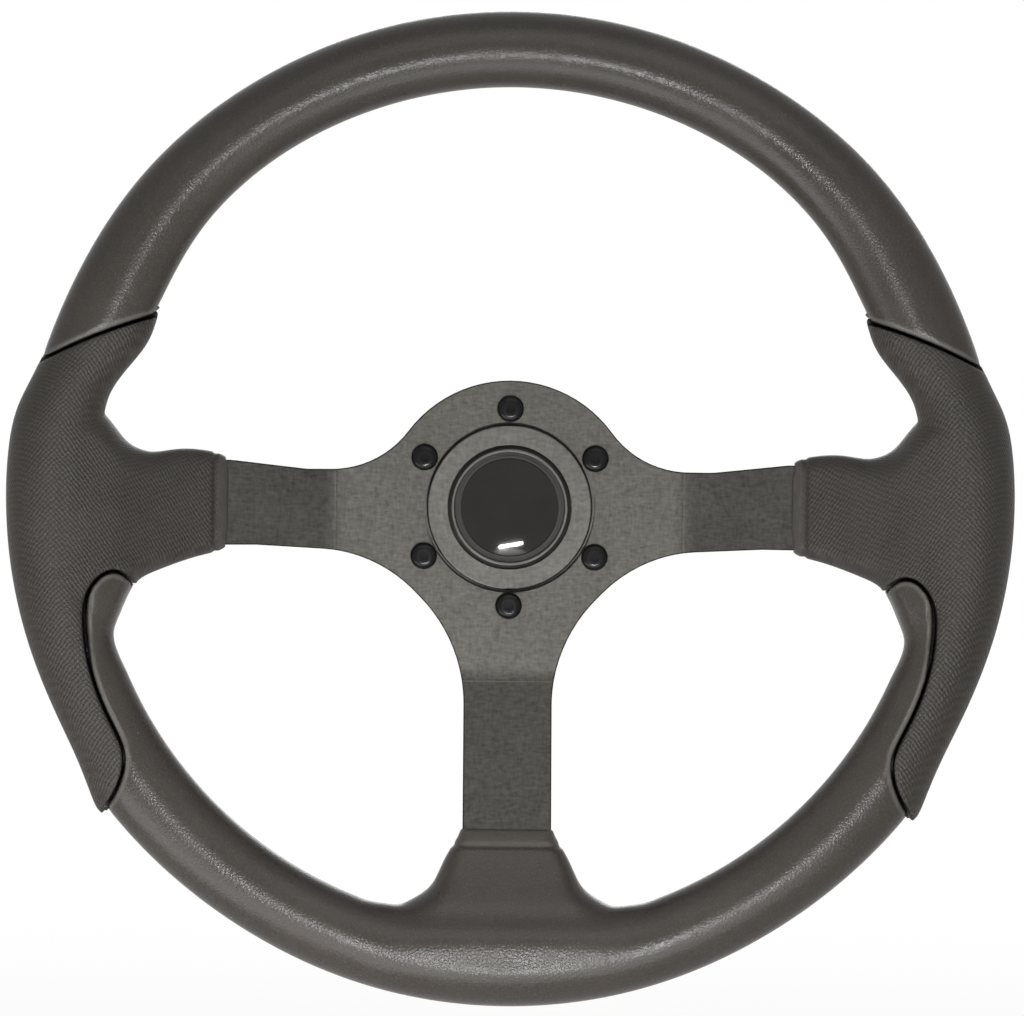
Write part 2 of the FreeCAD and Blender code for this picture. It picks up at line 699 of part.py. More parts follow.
def rim_point(radius, turn, along=0.0):
    """A point by its distance from the axis, its angle above the right spoke in degrees, and its Y."""
    return Vector(radius * math.cos(math.radians(turn)), along, radius * math.sin(math.radians(turn)))


def rim_section(turn, inner, outer, half_depth):
    """An oval across the rim at one angle, between an inner and an outer radius, begun at its back."""
    middle = (inner + outer) / 2
    half_width = (outer - inner) / 2
    points = []
    for step in range(8):
        lean = math.radians(90 + 45 * step)
        along = rim_middle + half_depth * math.sin(lean)
        points.append(rim_point(middle + half_width * math.cos(lean), turn, along))
    curve = Part.BSplineCurve()
    curve.interpolate(Points=points, PeriodicFlag=True)
    return Part.Wire([curve.toShape()])


def rim_loft(stations):
    return Part.makeLoft([rim_section(*station) for station in stations], True, False)


def upper_loft():
    """The upper section: even over the top, thicker inwards and slimmer outwards at its ends."""
    inner = rim_radius - size("upper_grip_width")
    depth = size("upper_grip_depth") / 2
    swell = size("shoulder_swell")
    waist = size("neck_waist")
    half = [
        (13, inner - swell, rim_radius - waist, depth),
        (22, inner - swell, rim_radius - waist, depth),
        (30, inner - swell, rim_radius - 0.75 * waist, depth),
        (38, inner - 0.55 * swell, rim_radius - 0.3 * waist, depth),
        (47, inner - 0.15 * swell, rim_radius, depth),
        (60, inner, rim_radius, depth),
        (75, inner, rim_radius, depth),
    ]
    mirrored = [(180 - turn, low, high, deep) for turn, low, high, deep in half[::-1]]
    return rim_loft(half + [(90, inner, rim_radius, depth)] + mirrored)


def side_loft():
    """The right side grip: thumb stop, neck, palm swell and heel, from the upper seam down."""
    inner = rim_radius - size("side_grip_width")
    depth = size("side_grip_depth") / 2
    slim = size("upper_grip_depth") / 2
    low = size("lower_grip_depth") / 2
    stop = size("thumb_stop")
    waist = rim_radius - size("neck_waist")
    palm = rim_radius + size("palm_swell")
    return rim_loft([
        (34, inner - 0.45 * stop, rim_radius - 0.8 * size("neck_waist"), slim),
        (29, inner - 0.75 * stop, waist, slim),
        (24.5, inner - stop, waist, slim + 0.3),
        (20, inner - 0.55 * stop, waist, slim + 0.7),
        (15.5, inner, waist + 1.2, depth - 0.5),
        (11, inner, palm - 0.7, depth),
        (6.5, inner, palm, depth),
        (0, inner, palm - 0.4, depth),
        (-9, inner, palm - 1.1, depth - 0.2),
        (-18, inner, palm - 2.0, depth - 0.5),
        (-26, inner, rim_radius + 0.2, low),
        (-30.5, inner, rim_radius + 0.9, low),
        (-34.5, inner, rim_radius + size("heel_swell"), low),
        (-40, inner, rim_radius, low),
    ])


def lower_loft():
    """The lower section: even round the bottom, slightly swollen towards both side grips."""
    inner = rim_radius - size("lower_grip_width")
    depth = size("lower_grip_depth") / 2
    stations = []
    for turn in range(-175, -4, 17):
        share = min(1, max(0, abs(turn + 90) / 17 - 2))
        stations.append((turn, inner, rim_radius + share * size("lower_swell"), depth))
    return rim_loft(stations)


def web_section(distance, upper, lower, half_depth, middle):
    """A flat oval across a spoke: rounded rectangle between two heights."""
    corner = min(half_depth, (upper - lower) / 2) * web_roundness
    turns = ((upper - corner, -half_depth + corner, 0), (upper - corner, half_depth - corner, 90),
             (lower + corner, half_depth - corner, 180), (lower + corner, -half_depth + corner, 270))
    arcs = []
    for height, along, start in turns:
        points = []
        for lean in (start, start + 45, start + 90):
            swing = math.radians(lean)
            depth = middle + along - corner * math.cos(swing)
            points.append(Vector(distance, depth, height + corner * math.sin(swing)))
        arcs.append((points[0], points[2], Part.Arc(*points).toShape()))
    edges = []
    for index, (first, last, arc) in enumerate(arcs):
        edges.append(arc)
        edges.append(Part.makeLine(last, arcs[(index + 1) % 4][0]))
    return Part.Wire(edges)


def web_loft(stations):
    """Moulding round one spoke, from the collar's lip into the rim."""
    sections = []
    for distance, upper, lower, half_depth in stations:
        middle = rim_middle if distance > spoke_end else spoke_middle(distance)
        sections.append(web_section(distance, upper, lower, half_depth, middle))
    return Part.makeLoft(sections, True, False)


def side_web():
    """The web on the right spoke; its edges run out into the thumb rests above and below."""
    inner = rim_radius - size("side_grip_width")
    collar = inner - size("side_web_length")
    lip = collar + size("collar_lip")
    plate = size("plate_thickness") / 2
    top = size("side_spoke_top") + size("side_spoke_rise")
    bottom = -size("side_spoke_bottom")
    way = inner - lip
    deep = size("side_grip_depth") / 2
    stations = [
        (collar, top + size("lip_edge"), bottom - size("lip_edge"), plate + size("lip_cover")),
        (lip, top + size("lip_side"), bottom - size("lip_side"), plate + size("collar_cover")),
    ]
    for share, rise, drop, depth in side_web_sections:
        stations.append((lip + share * way, top + rise, bottom - drop, depth * deep))
    return web_loft(stations)


def bottom_web():
    """The web on the bottom spoke, drawn on the right spoke and turned down."""
    inner = rim_radius - size("lower_grip_width")
    collar = inner - size("bottom_web_length")
    lip = collar + size("collar_lip")
    plate = size("plate_thickness") / 2
    half = size("bottom_spoke_width") / 2
    way = inner - lip
    deep = size("lower_grip_depth") / 2
    stations = [
        (collar, half + size("lip_edge"), plate + size("lip_cover")),
        (lip, half + size("lip_side"), plate + size("collar_cover")),
    ]
    for share, beside, depth in bottom_web_sections:
        stations.append((lip + share * way, half + beside, depth * deep))
    web = web_loft([(distance, wide, -wide, half_depth) for distance, wide, half_depth in stations])
    return around(web, spoke_turns["bottom"])


def route_points(route, side):
    """Points of a seam route in the XZ plane, on the upper (1) or the lower (-1) side of the spoke."""
    return [rim_point(rim_radius - inset, side * turn) for inset, turn in route]


seam_start = rim_point(rim_radius - lower_seam_start[0], -lower_seam_start[1])


def seam_curve(route, side, shift):
    """A smooth curve along a route, from the inside outwards, moved to its left by a shift."""
    curve = Part.BSplineCurve()
    curve.interpolate(route_points(route, side))
    moved = []
    for point in route_points(route, side):
        along = curve.tangent(curve.parameter(point))[0]
        moved.append(point + along.cross(Vector(0, 1, 0)).normalize() * shift)
    result = Part.BSplineCurve()
    result.interpolate(moved)
    return result.toShape(), moved[0], moved[-1]


def prism(edges, start, end):
    """A prism over a closed line of edges in the XZ plane, from one Y to another."""
    face = Part.Face(Part.Wire(Part.sortEdges(edges)[0]))
    face.translate(Vector(0, start, 0))
    return face.extrude(Vector(0, end - start, 0))


def lapped(region, clearance):
    """The space of one section. Its back half is moved along, so that no light shows through a seam."""
    half = rim_middle + clearance / 2
    front = prism(region(0), rim_middle - skin_reach, half)
    back = prism(region(size("seam_gap") + size("seam_lap")), half, rim_middle + skin_reach)
    return front.fuse(back)


def polyline(points):
    return [Part.makeLine(first, last) for first, last in zip(points, points[1:])]


def side_region(lap):
    """Everything that belongs to the right side grip, between the upper and the lower seam."""
    gap = size("seam_gap") / 2
    upper, upper_in, upper_out = seam_curve(upper_seam_route, 1, lap - gap)
    lower, lower_in, lower_out = seam_curve(lower_seam_route, -1, gap - lap)
    far = rim_radius + outside_reach
    near = rim_radius - size("side_grip_width") - size("side_web_length") - size("collar_lip")
    outside = polyline([lower_out, Vector(far, 0, lower_out.z), Vector(far, 0, upper_out.z), upper_out])
    inside = polyline([upper_in, Vector(near, 0, upper_in.z), Vector(near, 0, seam_start.z), seam_start,
                       lower_in])
    return [lower] + outside + [upper] + inside


def mirrored_edges(edges):
    return [edge.mirror(Vector(0, 0, 0), Vector(1, 0, 0)) for edge in edges]


def mirrored(point):
    return Vector(-point.x, point.y, point.z)


def lower_region(lap):
    """Everything below the two lower seams."""
    lower, lower_in, lower_out = seam_curve(lower_seam_route, -1, -size("seam_gap") / 2 - lap)
    far = rim_radius + outside_reach
    right = polyline([seam_start, lower_in]) + [lower]
    outside = polyline([lower_out, Vector(far, 0, lower_out.z), Vector(far, 0, -far), Vector(-far, 0, -far),
                        Vector(-far, 0, lower_out.z), mirrored(lower_out)])
    return right + outside + mirrored_edges(right) + polyline([mirrored(seam_start), seam_start])


def upper_region(lap):
    """Everything above the two upper seams."""
    upper, upper_in, upper_out = seam_curve(upper_seam_route, 1, size("seam_gap") / 2 + lap)
    far = rim_radius + outside_reach
    outside = polyline([upper_out, Vector(far, 0, upper_out.z), Vector(far, 0, far), Vector(-far, 0, far),
                        Vector(-far, 0, upper_out.z), mirrored(upper_out)])
    return [upper] + outside + mirrored_edges([upper]) + polyline([mirrored(upper_in), upper_in])


# Document

rim_ring = doc.addObject("Part::Torus", "rim_ring")
rim_ring.Label = "rim_ring"
rim_ring.setExpression("Radius1", "sizes.rim_diameter / 2 - sizes.core_inset")
rim_ring.setExpression("Radius2", "sizes.core_rod / 2")
ring_turn = Rotation(Vector(0, 1, 0), -90).multiply(Rotation(Vector(1, 0, 0), 90))
rim_ring.Placement = Placement(Vector(0, rim_middle, 0), ring_turn)

outline = plate_outline()
bent = bent_sheet()
blank = doc.addObject("Part::Common", "plate_blank")
blank.Base = outline
blank.Tool = bent
doc.recompute()
bevelled = doc.addObject("Part::Chamfer", "bevelled_plate")
bevelled.Base = blank
bevelled.Edges = [(number, size("plate_edge"), size("plate_edge")) for number in outline_edges(blank.Shape)]
all_rivets = [(turn, radius, across) for turn in spoke_turns.values() for radius, across in rivet_places()]
drills = [around(rivet_drill(radius, across), turn) for turn, radius, across in all_rivets]
plate_drills = shape_feature("plate_drills", Part.makeCompound(drills))
spoke_frame = cut("spoke_frame", bevelled, plate_drills)
lugs = [spoke_lug(name) for name in spoke_turns]
rivets = [around(rivet_solid(radius, across), turn) for turn, radius, across in all_rivets]
spoke_rivets = shape_feature("spoke_rivets", Part.makeCompound(rivets))

hub = hub_boss()
screw = screw_body()
doc.recompute()
screws = []
for number in range(screw_count):
    place = rim_point(size("screw_circle") / 2, 90 + number * 360 / screw_count, plate_front)
    copy = screw.Shape.copy()
    copy.translate(place)
    screws.append(copy)
hub_screws = shape_feature("hub_screws", Part.makeCompound(screws))
cap_pieces = [cap_ring(), centre_cap(), cap_trim_ring(), cap_badge(), cap_seal()]

tabs = [doc.getObject(name + "_tab") for name in spoke_turns]
spokes = joined("grip_spokes", [spoke_frame, spoke_rivets] + tabs)
right_web = side_web()
left_web = right_web.mirror(Vector(0, 0, 0), Vector(1, 0, 0))
lap_clearance = size("lap_clearance")
side_space = lapped(side_region, lap_clearance)
lower_space = lapped(lower_region, -lap_clearance)
upper_space = lapped(upper_region, -lap_clearance)
right_skin = shape_feature("right_skin", side_loft().fuse(right_web).common(side_space))
webs = [right_web, left_web, bottom_web()]
lower_skin = shape_feature("lower_skin", lower_loft().fuse(webs).common(lower_space))
upper_skin = shape_feature("upper_skin", upper_loft().common(upper_space))
left_skin = doc.addObject("Part::Mirroring", "left_skin")
left_skin.Source = right_skin
left_skin.Normal = Vector(1, 0, 0)
grips = [cut("upper_grip", upper_skin, rim_ring)]
for name, skin in (("left_grip", left_skin), ("right_grip", right_skin), ("lower_grip", lower_skin)):
    grips.append(cut(name, cut(name + "_on_spokes", skin, spokes), rim_ring))
doc.recompute()

# Check the document and write one file for each sub-part

sub_parts = [spoke_frame, rim_ring, spoke_rivets, hub, hub_screws] + lugs + cap_pieces + grips
for item in doc.Objects:
    if "Invalid" in item.State or "Error" in item.State:
        raise ValueError("%s failed: %s" % (item.Name, item.State))
for item in sub_parts:
    if item.Shape.isNull() or not item.Shape.isValid():
        raise ValueError("%s has no valid shape" % item.Label)
os.makedirs("parts", exist_ok=True)
for item in sub_parts:
    item.Shape.exportStep("parts/%s.step" % item.Label)
    print(item.Label, len(item.Shape.Solids), "solids", round(item.Shape.Volume / 1000, 2), "cm3")
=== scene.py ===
import bpy
from math import cos, hypot, pi, radians, sin, tan
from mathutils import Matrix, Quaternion, Vector
from mathutils.bvhtree import BVHTree


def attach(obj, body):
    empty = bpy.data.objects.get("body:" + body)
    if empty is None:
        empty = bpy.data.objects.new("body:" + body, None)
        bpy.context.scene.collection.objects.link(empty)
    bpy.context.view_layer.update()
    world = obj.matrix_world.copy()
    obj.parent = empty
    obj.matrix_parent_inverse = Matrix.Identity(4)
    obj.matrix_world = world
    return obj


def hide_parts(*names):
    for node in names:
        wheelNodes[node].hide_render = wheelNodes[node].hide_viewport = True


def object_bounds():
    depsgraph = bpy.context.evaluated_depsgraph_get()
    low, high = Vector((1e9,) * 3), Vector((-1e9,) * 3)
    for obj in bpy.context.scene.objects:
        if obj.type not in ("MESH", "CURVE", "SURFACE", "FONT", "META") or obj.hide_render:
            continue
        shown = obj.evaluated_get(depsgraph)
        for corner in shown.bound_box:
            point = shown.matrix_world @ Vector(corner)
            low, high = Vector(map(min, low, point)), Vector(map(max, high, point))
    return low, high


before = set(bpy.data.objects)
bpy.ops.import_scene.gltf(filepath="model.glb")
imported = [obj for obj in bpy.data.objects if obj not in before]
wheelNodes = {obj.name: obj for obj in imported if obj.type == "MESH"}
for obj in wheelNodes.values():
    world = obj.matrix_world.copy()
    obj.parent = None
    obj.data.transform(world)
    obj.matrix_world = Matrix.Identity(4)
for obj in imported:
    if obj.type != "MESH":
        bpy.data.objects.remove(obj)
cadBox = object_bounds()
scene = bpy.context.scene
print("frame loaded")


# helpers for modelling

leastWeight = 0.001
doublesApart = 0.000002


def makeActive(piece):
    bpy.ops.object.select_all(action="DESELECT")
    piece.select_set(True)
    bpy.context.view_layer.objects.active = piece


def applyModifier(piece, kind, **settings):
    modifier = piece.modifiers.new(kind.lower(), kind)
    for name, value in settings.items():
        setattr(modifier, name, value)
    makeActive(piece)
    bpy.ops.object.modifier_apply(modifier=modifier.name)


def editAll(piece):
    makeActive(piece)
    bpy.ops.object.mode_set(mode="EDIT")
    bpy.ops.mesh.select_mode(type="VERT")
    bpy.ops.mesh.select_all(action="SELECT")


def leaveEdit():
    bpy.ops.mesh.select_all(action="DESELECT")
    bpy.ops.object.mode_set(mode="OBJECT")


def fade(value, full, none):
    # 1 up to full, 0 from none on, with a soft change between them
    share = min(max((value - none) / (full - none), 0.0), 1.0)
    return share * share * (3 - 2 * share)


def weigh(piece, weightOf):
    # a vertex group whose weights come from a function of each point
    group = piece.vertex_groups.new(name="weights")
    for point in piece.data.vertices:
        weight = weightOf(point)
        if weight > leastWeight:
            group.add([point.index], weight, "REPLACE")
    return group.name


def smoothWhere(piece, weightOf, repeats):
    applyModifier(piece, "SMOOTH", factor=0.5, iterations=repeats, vertex_group=weigh(piece, weightOf))
    piece.vertex_groups.clear()


def swellWhere(piece, weightOf, height, direction="NORMAL"):
    applyModifier(piece, "DISPLACE", direction=direction, mid_level=0.0, strength=height,
                  vertex_group=weigh(piece, weightOf))
    piece.vertex_groups.clear()


def copyNode(nodeName, pieceName):
    # a copy of a node's mesh with its doubles merged
    piece = bpy.data.objects.new(pieceName, wheelNodes[nodeName].data.copy())
    scene.collection.objects.link(piece)
    editAll(piece)
    bpy.ops.mesh.remove_doubles(threshold=doublesApart)
    bpy.ops.mesh.customdata_custom_splitnormals_clear()
    leaveEdit()
    return piece


# helpers for materials

def newMaterial(name, roughness, metallic=0.0, specular=0.5):
    material = bpy.data.materials.new(name)
    material.use_nodes = True
    shader = material.node_tree.nodes["Principled BSDF"]
    shader.inputs["Roughness"].default_value = roughness
    shader.inputs["Metallic"].default_value = metallic
    shader.inputs["Specular IOR Level"].default_value = specular
    return material, material.node_tree, shader


def addNode(tree, kind, **settings):
    node = tree.nodes.new(kind)
    for name, value in settings.items():
        setattr(node, name, value)
    return node


def feed(tree, socket, value):
    # a socket takes a number, a colour or the output of another node
    if isinstance(value, tuple):
        socket.default_value = value + (1.0,)
    elif isinstance(value, (int, float)):
        socket.default_value = value
    else:
        tree.links.new(value, socket)


def mathNode(tree, operation, *values):
    node = addNode(tree, "ShaderNodeMath", operation=operation)
    for number, value in enumerate(values):
        feed(tree, node.inputs[number], value)
    return node.outputs[0]


def blendValues(tree, first, second, share):
    # share says how much of the first value there is, and the rest is the second
    return mathNode(tree, "MULTIPLY_ADD", first, share, mathNode(tree, "MULTIPLY", second, 1 - share))


def rangeNode(tree, value, fromLow, fromHigh, toLow=0.0, toHigh=1.0, smooth=False):
    node = addNode(tree, "ShaderNodeMapRange", interpolation_type="SMOOTHSTEP" if smooth else "LINEAR")
    for number, given in enumerate((value, fromLow, fromHigh, toLow, toHigh)):
        feed(tree, node.inputs[number], given)
    return node.outputs[0]


def mixColours(tree, factor, first, second):
    node = addNode(tree, "ShaderNodeMix", data_type="RGBA")
    tree.links.new(factor, node.inputs[0])
    feed(tree, node.inputs[6], first)
    feed(tree, node.inputs[7], second)
    return node.outputs[2]


def noiseNode(tree, place, scale, detail=2.0, roughness=0.5):
    node = addNode(tree, "ShaderNodeTexNoise")
    tree.links.new(place, node.inputs["Vector"])
    for label, value in (("Scale", scale), ("Detail", detail), ("Roughness", roughness)):
        feed(tree, node.inputs[label], value)
    return node


def bumpNode(tree, height, distance, below=None):
    node = addNode(tree, "ShaderNodeBump")
    node.inputs["Strength"].default_value = 1.0
    node.inputs["Distance"].default_value = distance
    tree.links.new(height, node.inputs["Height"])
    if below is not None:
        tree.links.new(below, node.inputs["Normal"])
    return node.outputs["Normal"]


def placeNode(tree):
    # the point in the object's own metres, and its three parts
    place = addNode(tree, "ShaderNodeTexCoord").outputs["Object"]
    parts = addNode(tree, "ShaderNodeSeparateXYZ")
    tree.links.new(place, parts.inputs[0])
    return place, parts.outputs


def newGroup(name, inputs, outputs):
    group = bpy.data.node_groups.new(name, "ShaderNodeTree")
    for label, kind, value in inputs:
        socket = group.interface.new_socket(label, in_out="INPUT", socket_type=kind)
        socket.default_value = value
    for label, kind in outputs:
        group.interface.new_socket(label, in_out="OUTPUT", socket_type=kind)
    return group, group.nodes.new("NodeGroupInput"), group.nodes.new("NodeGroupOutput")


def placeGroup(tree, group, **values):
    node = tree.nodes.new("ShaderNodeGroup")
    node.node_tree = group
    for label, value in values.items():
        node.inputs[label].default_value = value
    return node


# moulded leather: small irregular cells with fine creases between them

grainShape = {
    "wobble": 420.0, "shift": 0.0009, "grit": 2600.0, "gritDetail": 3.0, "gritHeight": 0.9,
    "speckle": (0.35, 0.65), "speckleShare": 0.6,
}


def leatherGrainGroup():
    group, given, result = newGroup(
        "leatherGrain",
        [("Cells", "NodeSocketFloat", 1300.0), ("Crease", "NodeSocketFloat", 0.30)],
        [("Height", "NodeSocketFloat"), ("Shade", "NodeSocketFloat")])
    place = addNode(group, "ShaderNodeTexCoord").outputs["Object"]
    shift = addNode(group, "ShaderNodeVectorMath", operation="SCALE")
    shift.inputs["Scale"].default_value = grainShape["shift"]
    group.links.new(noiseNode(group, place, grainShape["wobble"]).outputs["Color"], shift.inputs[0])
    moved = addNode(group, "ShaderNodeVectorMath", operation="ADD")
    group.links.new(place, moved.inputs[0])
    group.links.new(shift.outputs[0], moved.inputs[1])
    cells = addNode(group, "ShaderNodeTexVoronoi", feature="DISTANCE_TO_EDGE")
    group.links.new(moved.outputs[0], cells.inputs["Vector"])
    group.links.new(given.outputs["Cells"], cells.inputs["Scale"])
    crease = rangeNode(group, cells.outputs["Distance"], 0.0, given.outputs["Crease"], smooth=True)
    grit = noiseNode(group, place, grainShape["grit"], grainShape["gritDetail"]).outputs["Fac"]
    height = mathNode(group, "MULTIPLY_ADD", grit, grainShape["gritHeight"], crease)
    speckle = rangeNode(group, grit, *grainShape["speckle"])
    shade = blendValues(group, speckle, crease, grainShape["speckleShare"])
    group.links.new(height, result.inputs["Height"])
    group.links.new(shade, result.inputs["Shade"])
    return group


# slow change of tone where hands, cleaning and weather have touched the surface

toneShape = {"detail": 5.0, "roughness": 0.62, "spread": (0.3, 0.7)}


def handledToneGroup():
    group, given, result = newGroup(
        "handledTone", [("Size", "NodeSocketFloat", 35.0)], [("Tone", "NodeSocketFloat")])
    place = addNode(group, "ShaderNodeTexCoord").outputs["Object"]
    clouds = noiseNode(group, place, given.outputs["Size"], toneShape["detail"], toneShape["roughness"])
    tone = rangeNode(group, clouds.outputs["Fac"], *toneShape["spread"])
    group.links.new(tone, result.inputs["Tone"])
    return group


# fine lines left by a brush or a turning tool, stretched along one direction

lineShape = {"detail": 4.0, "roughness": 0.6, "spread": (0.32, 0.68)}


def fineLinesGroup():
    group, given, result = newGroup(
        "fineLines",
        [("Stretch", "NodeSocketVector", (200.0, 200.0, 4000.0))],
        [("Height", "NodeSocketFloat"), ("Shade", "NodeSocketFloat")])
    place = addNode(group, "ShaderNodeTexCoord").outputs["Object"]
    stretched = addNode(group, "ShaderNodeVectorMath", operation="MULTIPLY")
    group.links.new(place, stretched.inputs[0])
    group.links.new(given.outputs["Stretch"], stretched.inputs[1])
    lines = noiseNode(group, stretched.outputs[0], 1.0, lineShape["detail"], lineShape["roughness"])
    group.links.new(lines.outputs["Fac"], result.inputs["Height"])
    group.links.new(rangeNode(group, lines.outputs["Fac"], *lineShape["spread"]), result.inputs["Shade"])
    return group


# painted shade: faces turned away from the front and the back take a darker colour

def paintedSideShadeGroup():
    group, given, result = newGroup(
        "paintedSideShade",
        [("Front", "NodeSocketColor", (0.04, 0.04, 0.04, 1.0)),
         ("Side", "NodeSocketColor", (0.01, 0.01, 0.01, 1.0)),
         ("Low", "NodeSocketFloat", 0.0), ("High", "NodeSocketFloat", 0.5)],
        [("Colour", "NodeSocketColor")])
    parts = addNode(group, "ShaderNodeSeparateXYZ")
    group.links.new(addNode(group, "ShaderNodeTexCoord").outputs["Normal"], parts.inputs[0])
    facing = rangeNode(group, mathNode(group, "ABSOLUTE", parts.outputs[1]),
                       given.outputs["Low"], given.outputs["High"], smooth=True)
    colour = mixColours(group, facing, given.outputs["Side"], given.outputs["Front"])
    group.links.new(colour, result.inputs["Colour"])
    return group


leatherGrain = leatherGrainGroup()
handledTone = handledToneGroup()
fineLines = fineLinesGroup()
paintedSideShade = paintedSideShadeGroup()


def paintSideShade(tree, front, side, low=0.0, high=0.5):
    node = placeGroup(tree, paintedSideShade, Side=side + (1.0,), Low=low, High=high)
    tree.links.new(front, node.inputs["Front"])
    return node.outputs["Colour"]


# the grips

rimMiddle = -0.0795
farAway = (1.0, 0.0)

gripShape = {
    "names": {"upper_grip": "upperGrip", "lower_grip": "lowerGrip", "left_grip": "leftGrip",
              "right_grip": "rightGrip"},
    "voxel": {"upper_grip": 0.00082, "lower_grip": 0.00088, "left_grip": 0.00064,
              "right_grip": 0.00064},
    "smoothing": 5,
    # the seams between two sections: distances from the next section, bands forward of the rim's middle
    "seamReach": 0.0045, "seamFull": 0.0016, "seamBand": (0.003, 0.0),
    "seamRounding": {"upper_grip": 16, "lower_grip": 16, "left_grip": 5, "right_grip": 5},
    "lightGap": 0.0034, "lightFacing": 0.6, "lightFill": 0.46, "lightDepth": (0.008, 0.011),
    # where the painted seam highlight lies beside each seam
    "seamHighlightAt": 0.0019, "seamHighlightReach": (0.0003, 0.0013), "seamHighlightBand": (0.006, 0.002),
    # the pressed line round each collar
    "collarGroove": 0.0004, "collarReach": (0.0002, 0.0013),
    "sideCollar": 0.1042, "bottomCollar": -0.1189, "bottomCollarHalf": 0.04,
    # the corners in which a web runs out of the rim, the last two on the bottom web
    "webCorners": ((0.139, -0.043), (-0.139, -0.043), (0.037, -0.1405), (-0.037, -0.1405)),
    "cornerReach": (0.006, 0.017), "cornerRepeats": 190,
    "cornerFill": 0.0022, "fillReach": (0.003, 0.014), "fillFacing": (0.2, 0.8),
    # the line where the bottom web joins the rim
    "webJoint": -0.151, "jointReach": (0.004, 0.013), "jointHalf": (0.045, 0.060), "jointBand": (0.004, 0.0),
    # the ends of the side webs
    "webEnds": ((0.0992, 0.0178), (0.0992, -0.0142)), "endReach": (0.0015, 0.0065), "endRepeats": 70,
}


def inFront(y, band):
    # 1 in front of the band, 0 behind it
    return fade(y, rimMiddle - band[0], rimMiddle - band[1])


def neighbourTree(nodeName):
    mesh = wheelNodes[nodeName].data
    return BVHTree.FromPolygons([v.co for v in mesh.vertices], [p.vertices[:] for p in mesh.polygons])


def nearestNeighbour(piece, neighbours):
    # for each point the distance to the next section and whether the surface faces it
    trees = [neighbourTree(nodeName) for nodeName in neighbours]
    near = {}
    for point in piece.data.vertices:
        for tree in trees:
            place, _, _, distance = tree.find_nearest(point.co, gripShape["seamReach"])
            if place is not None:
                facing = (place - point.co).normalized().dot(point.normal)
                near[point.index] = (distance, facing)
    return near


def closeLightGap(piece, near):
    # behind the middle of the rim the sections almost touch, so no light falls through the seam
    def weightOf(point):
        distance, facing = near.get(point.index, farAway)
        behind = point.co.y - rimMiddle
        if distance > gripShape["lightGap"] or facing < gripShape["lightFacing"] or behind < 0.0:
            return 0.0
        return fade(behind, *gripShape["lightDepth"]) * distance / gripShape["lightGap"]
    swellWhere(piece, weightOf, gripShape["lightFill"] * gripShape["lightGap"])


def roundSeams(piece, near, repeats):
    def weightOf(point):
        distance = near.get(point.index, farAway)[0]
        beside = fade(distance, gripShape["seamFull"], gripShape["seamReach"])
        return beside * inFront(point.co.y, gripShape["seamBand"])
    smoothWhere(piece, weightOf, repeats)


def paintSeamHighlights(piece, near):
    # the edges beside a seam get a painted highlight, a lighter colour
    seam = piece.data.attributes.new("seamHighlightMask", "FLOAT", "POINT")
    for point in piece.data.vertices:
        distance = near.get(point.index, farAway)[0]
        seamHighlight = fade(abs(distance - gripShape["seamHighlightAt"]), *gripShape["seamHighlightReach"])
        seam.data[point.index].value = seamHighlight * inFront(point.co.y, gripShape["seamHighlightBand"])


def blendWebs(piece):
    def fillOf(point):
        x, _, z = point.co
        near = min(hypot(x - cx, z - cz) for cx, cz in gripShape["webCorners"][2:])
        return fade(near, *gripShape["fillReach"]) * fade(abs(point.normal.y), *gripShape["fillFacing"])

    def weightOf(point):
        x, y, z = point.co
        corner = max(fade(hypot(x - cx, z - cz), *gripShape["cornerReach"])
                     for cx, cz in gripShape["webCorners"])
        joint = fade(abs(z - gripShape["webJoint"]), *gripShape["jointReach"])
        joint *= fade(abs(x), *gripShape["jointHalf"]) * inFront(y, gripShape["jointBand"])
        return max(corner, joint)
    swellWhere(piece, fillOf, gripShape["cornerFill"])
    smoothWhere(piece, weightOf, gripShape["cornerRepeats"])


def roundWebEnd(piece):
    def weightOf(point):
        x, _, z = point.co
        near = min(hypot(abs(x) - cx, z - cz) for cx, cz in gripShape["webEnds"])
        return fade(near, *gripShape["endReach"])
    smoothWhere(piece, weightOf, gripShape["endRepeats"])


def pressCollar(piece, nodeName):
    def weightOf(point):
        x, _, z = point.co
        if nodeName == "lower_grip":
            away = z - gripShape["bottomCollar"] if abs(x) < gripShape["bottomCollarHalf"] else 1.0
        else:
            away = abs(x) - gripShape["sideCollar"]
        return fade(abs(away), *gripShape["collarReach"])
    swellWhere(piece, weightOf, -gripShape["collarGroove"])


def dressGrip(nodeName, neighbours):
    piece = copyNode(nodeName, gripShape["names"][nodeName])
    applyModifier(piece, "REMESH", mode="VOXEL", voxel_size=gripShape["voxel"][nodeName])
    applyModifier(piece, "SMOOTH", factor=0.5, iterations=gripShape["smoothing"])
    near = nearestNeighbour(piece, neighbours)
    closeLightGap(piece, near)
    roundSeams(piece, near, gripShape["seamRounding"][nodeName])
    # painted highlight beside the seams
    paintSeamHighlights(piece, near)
    if nodeName == "lower_grip":
        blendWebs(piece)
    elif nodeName != "upper_grip":
        roundWebEnd(piece)
    if nodeName != "upper_grip":
        pressCollar(piece, nodeName)
    makeActive(piece)
    bpy.ops.object.shade_smooth()
    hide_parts(nodeName)
    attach(piece, "root")
    print(nodeName, "dressed,", len(piece.data.polygons), "faces")
    return piece


upperGrip = dressGrip("upper_grip", ["left_grip", "right_grip"])
leftGrip = dressGrip("left_grip", ["upper_grip", "lower_grip"])
rightGrip = dressGrip("right_grip", ["upper_grip", "lower_grip"])
lowerGrip = dressGrip("lower_grip", ["left_grip", "right_grip"])


# spoke plate with softly rolled bends: each arm is given by its sign and axis

